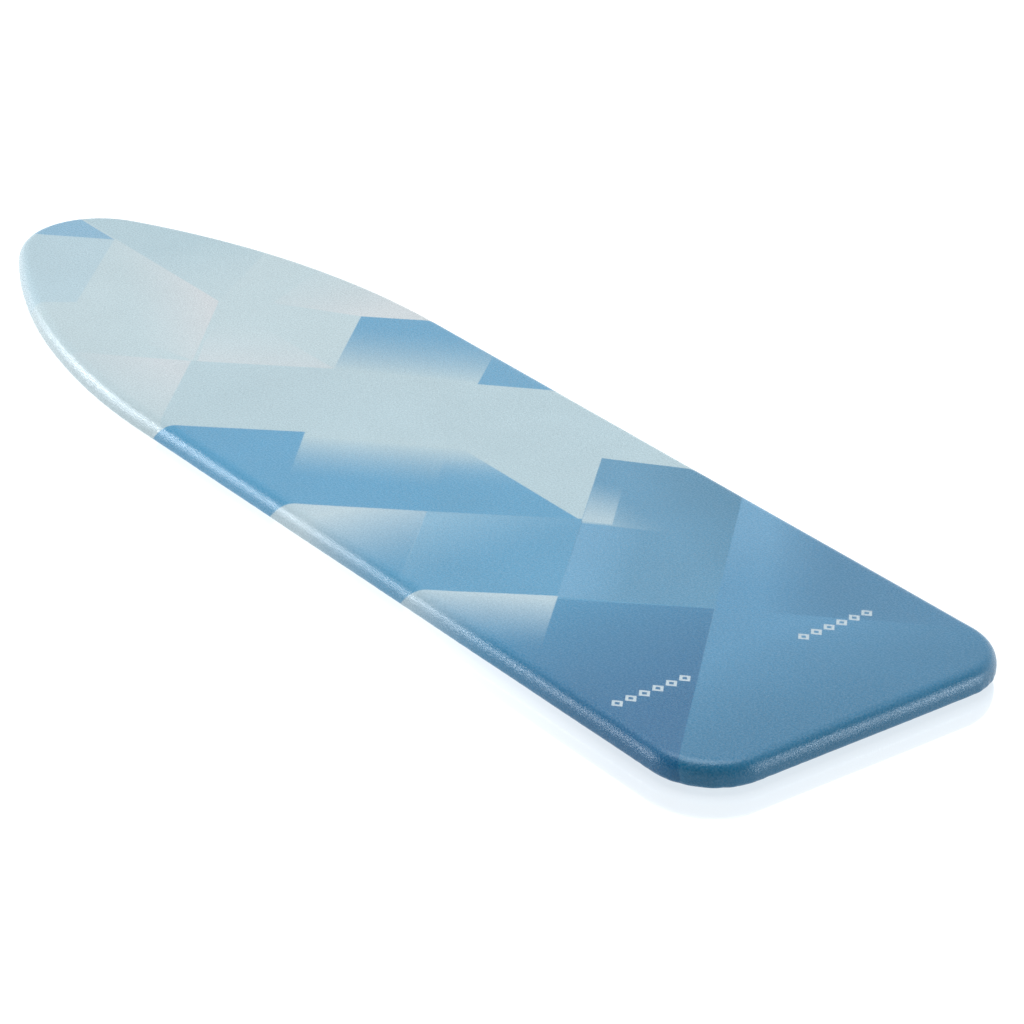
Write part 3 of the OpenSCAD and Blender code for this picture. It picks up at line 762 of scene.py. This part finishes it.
def smooth_path(points, step=0.0012):
    """Catmull-Rom curve through points, resampled evenly."""
    points = np.asarray(points, float)
    padded = np.vstack([2 * points[0] - points[1], points, 2 * points[-1] - points[-2]])
    pieces = []
    for i in range(len(points) - 1):
        p0, p1, p2, p3 = padded[i:i + 4]
        t = np.linspace(0, 1, 12, endpoint=False)[:, None]
        pieces.append(0.5 * (2 * p1 + (p2 - p0) * t + (2 * p0 - 5 * p1 + 4 * p2 - p3) * t ** 2
                             + (3 * p1 - p0 - 3 * p2 + p3) * t ** 3))
    dense = np.vstack([*pieces, points[-1:]])
    station = stations(dense)
    even = np.linspace(0, station[-1], max(3, int(station[-1] / step)))
    return np.stack([np.interp(even, station, dense[:, k]) for k in range(3)], 1)


def knot_path(centre, size):
    """An overhand knot pulled tight, as a closed line."""
    turn = np.linspace(0, 2 * math.pi, 60, endpoint=False)
    shape = np.stack([-np.sin(3 * turn), np.sin(turn) + 2 * np.sin(2 * turn),
                      np.cos(turn) - 2 * np.cos(2 * turn)], 1)
    return np.array(centre) + shape * size


def make_drawstring(material):
    """The drawcord: round the hem and twice through the cord lock, a knot at each end."""
    lock_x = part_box("cord_lock_body")[0].x + 0.0045
    line = ring(CASING_INSET, CASING_Z - HEM_DROP)
    upper, lower = CASING_Z + 0.002, CASING_Z - 0.002
    # The cord bends toward the lock from one row inside the mouths of the casing
    entry, leave = line[HEM_ENTRY[1:]], line[HEM_LEAVE[:-1]]
    start = smooth_path([(lock_x, -0.0245, upper), (lock_x, -0.010, upper),
                         (lock_x, 0.010, upper), (lock_x - 0.003, 0.022, CASING_Z + 0.0006),
                         entry[0], entry[1]])
    end = smooth_path([leave[-2], leave[-1],
                       (lock_x - 0.003, -0.022, CASING_Z - 0.0006), (lock_x, -0.010, lower),
                       (lock_x, 0.010, lower), (lock_x, 0.0245, lower)])
    # The outline's rows run nose-ward on the left and back along the right
    middle = np.vstack([entry[2:], line[:SIDES_N], leave[:-2]])
    path = np.vstack([start[:-1], middle, end[1:]])
    parts = [capped_tube(path, CORD_R, 10)]
    for y, z in ((-0.027, upper), (0.027, lower)):
        parts.append(tube(knot_path((lock_x, y, z), 0.0007), 0.0011, 8, closed=True))
        out = math.copysign(1, y)
        stub = [(lock_x, y + out * d, z) for d in (0.0005, 0.0025, 0.0045)]
        parts.append(capped_tube(stub, CORD_R * 0.85, 8))
    points, faces, braid = joined(parts)
    mesh_piece("drawstring_cord", points, faces, material, "cord", "drawstring", braid=braid)


# ---- Deck structure ------------------------------------------------------------------------

def make_expanded_mesh(material):
    """Flattened expanded steel: rows of lozenge openings inside a plain border."""
    long_half, short_half = 0.009, 0.0045
    strand = 0.0018
    side = math.hypot(long_half, short_half)
    shrink = 1 - (strand / 2) / (long_half * short_half / side)
    limits = ring(0.0064, 0)[:LEFT_N]
    across, up = int(HALF_L / long_half) + 1, int(TAIL_HALF / short_half) + 1
    i, j = np.meshgrid(np.arange(-across, across + 1), np.arange(-up, up + 1), indexing="ij")
    cells = np.stack([i.ravel(), j.ravel()], 1)
    cells = cells[(cells.sum(1) % 2) == 0]
    ways = np.array([(1, 0), (0, 1), (-1, 0), (0, -1)])
    corners = cells[:, None] + ways[None]
    spots = corners * (long_half, short_half)
    half = np.interp(spots[..., 0], limits[:, 0], limits[:, 1])
    inside = (np.abs(spots[..., 1]) < half) & (spots[..., 0] > limits[0, 0]) & (
        spots[..., 0] < limits[-1, 0])
    whole = inside.all(1)
    cells, corners, spots = cells[whole], corners[whole], spots[whole]
    key = corners[..., 0] * 10000 + corners[..., 1]
    names, index = np.unique(key, return_inverse=True)
    index = index.reshape(-1, 4)
    place = np.zeros((len(names), 2))
    place[index.ravel()] = spots.reshape(-1, 2)
    centre = (cells * (long_half, short_half))[:, None]
    holes = (centre + (spots - centre) * shrink).reshape(-1, 2)
    n_out, n_in = len(place), len(holes)
    flat = np.vstack([place, holes])
    points = np.vstack([np.column_stack([flat, np.full(len(flat), z)])
                        for z in (MESH_TOP, MESH_BOTTOM)])
    hole = n_out + np.arange(n_in).reshape(-1, 4)
    under = n_out + n_in
    faces = []
    present = set(map(tuple, cells.tolist()))
    for k in range(4):
        m = (k + 1) % 4
        o0, o1, h0, h1 = index[:, k], index[:, m], hole[:, k], hole[:, m]
        faces.append(np.stack([o0, o1, h1, h0], 1))
        faces.append(np.stack([o1, o0, h0, h1], 1) + under)
        faces.append(np.stack([h0, h1, h1 + under, h0 + under], 1))
        beyond = cells + ways[k] + ways[m]
        open_side = np.array([tuple(b) not in present for b in beyond.tolist()])
        faces.append(np.stack([o1, o0, o0 + under, o1 + under], 1)[open_side])
    faces = np.vstack(faces).tolist()
    border = [(0.0056, MESH_TOP - 0.0001), (0.0100, MESH_TOP - 0.0001),
              (0.0100, MESH_BOTTOM + 0.0001), (0.0056, MESH_BOTTOM + 0.0001)]
    rings = np.vstack([ring(d, z) for d, z in border])
    first = len(points)
    faces += (strips(4, LOOP_N, closed_chain=True)[:, ::-1] + first).tolist()
    mesh_piece("deck_mesh_expanded", np.vstack([points, rings]), faces, material,
               "white_steel", "deck_mesh", smooth=False)


def make_rim(material):
    """Rolled rim: an upright wall that bends into a lip turned in along its lower edge."""
    low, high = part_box("deck_rim")[0].z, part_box("deck_rim")[1].z
    outer, wall, lip_end, bend = 0.004, 0.0016, 0.016, 0.003
    chain = [(outer, high), (outer, low + bend)]
    for turn in np.linspace(0, math.pi / 2, 6)[1:]:
        chain.append((outer + bend * (1 - math.cos(turn)), low + bend * (1 - math.sin(turn))))
    for turn in np.linspace(-math.pi / 2, math.pi / 2, 6):
        chain.append((lip_end - wall / 2 + wall / 2 * math.cos(turn),
                      low + wall / 2 + wall / 2 * math.sin(turn)))
    inner = bend - wall
    for turn in np.linspace(math.pi / 2, 0, 5):
        chain.append((outer + bend - inner * math.cos(turn),
                      low + bend - inner * math.sin(turn)))
    chain.append((outer + wall, high))
    points = np.vstack([ring(d, z) for d, z in chain])
    faces = strips(len(chain), LOOP_N, closed_chain=True)
    rim = mesh_piece("deck_rim_rolled", points, faces[:, ::-1], material, "white_steel",
                     "deck_rim")
    sharpen(rim.data, 50)


def make_spring(material):
    """Coil spring round the rod, with closed end turns."""
    low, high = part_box("lock_spring")
    centre = (low + high) / 2
    wire = 0.0005
    radius = (high.z - low.z) / 2 - wire
    turns, end_turns, end_pitch = 6.0, 0.8, 2.1 * wire
    turn = np.linspace(0, 1, 260)
    wound = turn * turns
    open_share = np.clip((wound - end_turns) / (turns - 2 * end_turns), 0, 1)
    creep = np.minimum(wound, end_turns) + np.maximum(wound - turns + end_turns, 0)
    length = high.x - low.x - 2 * wire - 2 * end_turns * end_pitch
    x = low.x + wire + end_pitch * creep + open_share * length
    angle = 2 * math.pi * wound
    path = np.stack([x, centre.y + radius * np.cos(angle), centre.z + radius * np.sin(angle)], 1)
    points, faces, braid = capped_tube(path, wire, 8)
    mesh_piece("lock_spring_coil", points, faces, material, "bright_steel", "lock_spring")


# ---- Finished CAD pieces -------------------------------------------------------------------

def sharpen(mesh, degrees):
    """Marks the edges that turn by more than degrees as sharp."""
    shape = bmesh.new()
    shape.from_mesh(mesh)
    limit = math.radians(degrees)
    for edge in shape.edges:
        edge.smooth = not (edge.is_manifold and edge.calc_face_angle(0) > limit)
    shape.to_mesh(mesh)
    shape.free()


def finished(node, body, width, material):
    """A CAD node with its hard edges rounded off to width, in its place."""
    source = frame["nodes"][node].data
    shape = bmesh.new()
    shape.from_mesh(source)
    bmesh.ops.remove_doubles(shape, verts=shape.verts, dist=2e-6)
    bmesh.ops.dissolve_limit(shape, angle_limit=math.radians(1.5), verts=shape.verts,
                             edges=shape.edges, delimit=set())
    bmesh.ops.recalc_face_normals(shape, faces=shape.faces)
    sharp = [e for e in shape.edges if e.is_manifold and e.calc_face_angle(0) > math.radians(32)]
    bmesh.ops.bevel(shape, geom=sharp, offset=width, offset_type="OFFSET", segments=3,
                    profile=0.5, affect="EDGES", clamp_overlap=True)
    for face in shape.faces:
        face.smooth = True
    mesh = bpy.data.meshes.new(node + "_finished")
    shape.to_mesh(mesh)
    shape.free()
    sharpen(mesh, 40)
    mesh.materials.append(material)
    piece = add_object(node + "_finished", mesh)
    normals = piece.modifiers.new("face_normals", "WEIGHTED_NORMAL")
    normals.keep_sharp = True
    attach(piece, body)
    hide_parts(node)


# CAD nodes that get rounded edges: edge radius in mm, by material slot. A star stands for left
# and right.
FINISHED = {
    "white_steel": {"rear_plate": 0.4, "centre_rail": 0.4, "lock_rail": 0.4, "front_rail": 0.4},
    "zinc_steel": {"pivot_bracket_*": 0.5, "lock_housing": 0.4, "bracket_rivets": 0.9,
                   "jam_plate": 0.3, "height_lever": 0.4},
    "bright_steel": {"pivot_pin_*": 0.6, "crossing_pin_*": 0.6, "slide_axle": 0.6,
                     "catch_post": 0.5, "lever_pin": 0.3},
    "grey_plastic": {"slide_head": 0.8, "rod_stop": 0.8, "outer_knuckle_*": 0.6,
                     "inner_knuckle_*": 0.6, "crossing_spacers": 0.4, "cord_lock_body": 1.2,
                     "cord_lock_button": 0.8},
    "blue_plastic": {"lever_grip": 2.2, "transport_catch": 1.0},
}

# CAD nodes that stay as they are, by material slot
KEPT = {
    "white_steel": ["outer_leg_tube_*", "inner_leg_tube_*", "front_foot_bar", "rear_foot_bar",
                    "upper_brace", "lower_brace"],
    "bright_steel": ["slide_rod", "jam_plate_pin"],
    "foot_rubber": ["front_foot_cap_*", "rear_foot_cap_*"],
}


def both_sides(name):
    if name.endswith("*"):
        return [name[:-1] + "left", name[:-1] + "right"]
    return [name]


def make_hard_pieces(materials):
    bodies = frame["record"]["behaviour"]["bodies"]
    body_of = {node: body for body, members in bodies.items() for node in members}
    for slot, widths in FINISHED.items():
        for name, width in widths.items():
            for node in both_sides(name):
                finished(node, body_of[node], width * MM, materials[slot])
    for slot, names in KEPT.items():
        for node in sum(map(both_sides, names), []):
            slots = frame["nodes"][node].data.materials
            slots.clear()
            slots.append(materials[slot])


# ---- Setting -------------------------------------------------------------------------------

def toward(azimuth, elevation):
    """Unit vector from the deck at angles in degrees; azimuth 0 is along -Y."""
    turn, rise = math.radians(azimuth), math.radians(elevation)
    return Vector((math.sin(turn) * math.cos(rise), -math.cos(turn) * math.cos(rise),
                   math.sin(rise)))


def make_floor():
    """Glossy white floor that glows evenly, with a painted shade pool by the tail where the glow
    is darker and bluer.

    It keeps level with the feet, so the board stands on it unfolded."""
    foot_low, foot_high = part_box("front_foot_bar")
    foot = add_object("foot_height", None)
    foot.location = (foot_low + foot_high) / 2
    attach(foot, "outer_legs")
    half = 30.0
    mesh = bpy.data.meshes.new("floor")
    mesh.from_pydata([(-half, -half, 0), (half, -half, 0), (half, half, 0), (-half, half, 0)],
                     [], [(0, 1, 2, 3)])
    floor = add_object("floor", mesh)
    floor.location.z = -foot.location.z
    level = floor.constraints.new("COPY_LOCATION")
    level.target = foot
    level.use_x = level.use_y = False
    level.use_offset = True
    material, tree, place = start_material("white_floor")
    # Painted shade: the floor's glow is darker and bluer within about half a metre of where the
    # tail rests.
    away = add_node(tree, "VectorMath", {0: place, 1: (-0.70, 0.0, 0.0)}, operation="DISTANCE")
    glow_with_painted_shade = mix(tree, remap(tree, away.outputs["Value"], 0.25, 0.48), (0.69, 0.735, 0.77, 1),
               (0.88, 0.91, 0.93, 1))
    gloss = add_node(tree, "BsdfPrincipled", {
        "Base Color": (0.15, 0.15, 0.15, 1), "Roughness": 0.03, "IOR": 2.8,
        "Emission Color": glow_with_painted_shade, "Emission Strength": 1.0})
    clear = add_node(tree, "BsdfTransparent")
    behind = add_node(tree, "NewGeometry").outputs["Backfacing"]
    both = add_node(tree, "MixShader", {0: behind, 1: gloss.outputs[0], 2: clear.outputs[0]})
    add_node(tree, "OutputMaterial", {0: both.outputs[0]})
    mesh.materials.append(material)


def make_world():
    """Soft white surroundings, brightest on the far side of the deck from the camera."""
    world = bpy.data.worlds.new("studio")
    world.use_nodes = True
    tree = world.node_tree
    tree.nodes.clear()
    way = add_node(tree, "TexCoord").outputs["Generated"]
    far = tuple(Vector((0.72, -0.60, 0.35)).normalized())
    facing = add_node(tree, "VectorMath", {0: way, 1: far}, operation="DOT_PRODUCT")
    shade = remap(tree, facing.outputs["Value"], -0.2, 0.5, 0.22, 1.02)
    sky = add_node(tree, "Background", {"Color": (1, 1, 1, 1), "Strength": shade})
    add_node(tree, "OutputWorld", {0: sky.outputs[0]})
    bpy.context.scene.world = world


def make_softbox(name, azimuth, elevation, distance, width, height, power):
    """A rectangular area light that faces the deck."""
    back = toward(azimuth, elevation)
    light = bpy.data.lights.new(name, "AREA")
    light.shape = "RECTANGLE"
    light.size, light.size_y = width, height
    light.energy = power
    lamp = add_object(name, light)
    lamp.location = back * distance
    lamp.rotation_mode = "QUATERNION"
    lamp.rotation_quaternion = back.to_track_quat("Z", "Y")


def make_camera():
    """The camera: angles, distance and long lens fitted to the outline of the deck."""
    back, roll = toward(-129.730, 27.334), math.radians(2.594)
    distance = 3.703
    target = Vector((-0.1747, 0.0194, TOP_Z))
    right = (-back).cross(Vector((0, 0, 1))).normalized()
    up = right.cross(-back)
    rolled_right = right * math.cos(roll) + up * math.sin(roll)
    rolled_up = up * math.cos(roll) - right * math.sin(roll)
    data = bpy.data.cameras.new("camera")
    data.lens = 137.55
    data.sensor_width = 36.0
    data.clip_start, data.clip_end = 0.05, 100.0
    camera = add_object("camera", data)
    axes = Matrix((rolled_right, rolled_up, back)).transposed().to_4x4()
    axes.translation = target + back * distance
    camera.matrix_world = axes
    bpy.context.scene.camera = camera


# Name, azimuth and elevation, distance, width and height, and power. The two low ones make the
# highlights along the rounded edge.
SOFTBOXES = [
    ("overhead_softbox", 0.0, 90.0, 2.6, 2.4, 2.4, 72.0),
    ("side_softbox", 129.0, 6.0, 2.8, 2.2, 0.42, 42.0),
    ("tail_softbox", -55.0, 6.0, 2.8, 0.9, 0.42, 15.0),
]


def make_soft_layers(materials):
    cloth = materials["cloth"]
    cover, reach = make_cover(cloth)
    stitches = make_hem_stitches(materials["thread"])
    casing = make_casing(cloth, reach)
    foam = make_pad("foam_pad_soft", [(PAD_INSET, FELT_TOP), (0.0064, 0.0270), (0.0082, 0.0278),
                                      (0.0102, 0.0284), (0.0120, FOAM_TOP - 0.0003)],
                    HOLLOW_DEPTH, materials["foam"], "foam", "foam_pad")
    felt = make_pad("felt_underlay_needled", [(PAD_INSET + 0.0001, MESH_TOP),
                                              (PAD_INSET, (MESH_TOP + FELT_TOP) / 2),
                                              (PAD_INSET + 0.0001, FELT_TOP)],
                    0.0, materials["felt"], "felt", "felt_underlay")
    make_drawstring(materials["cord"])


def make_materials():
    return {
        "cloth": cloth_material(), "thread": thread_material(), "cord": cord_material(),
        "felt": felt_material(), "foam": foam_material(),
        "white_steel": powder_coat("white_powder_coat", (226, 229, 231), (214, 218, 221)),
        "zinc_steel": zinc_material(), "bright_steel": bright_material(),
        "grey_plastic": plastic_material("grey_moulding", (88, 96, 104), (122, 130, 138), 0.46),
        "blue_plastic": plastic_material("blue_moulding", (46, 94, 132), (88, 136, 172), 0.42),
        "foot_rubber": rubber_material(),
    }


def main():
    materials = make_materials()
    make_expanded_mesh(materials["white_steel"])
    make_rim(materials["white_steel"])
    make_spring(materials["bright_steel"])
    make_hard_pieces(materials)
    make_soft_layers(materials)
    make_world()
    for softbox in SOFTBOXES:
        make_softbox(*softbox)
    make_floor()
    make_camera()
    bpy.context.scene.view_settings.view_transform = "Standard"


main()
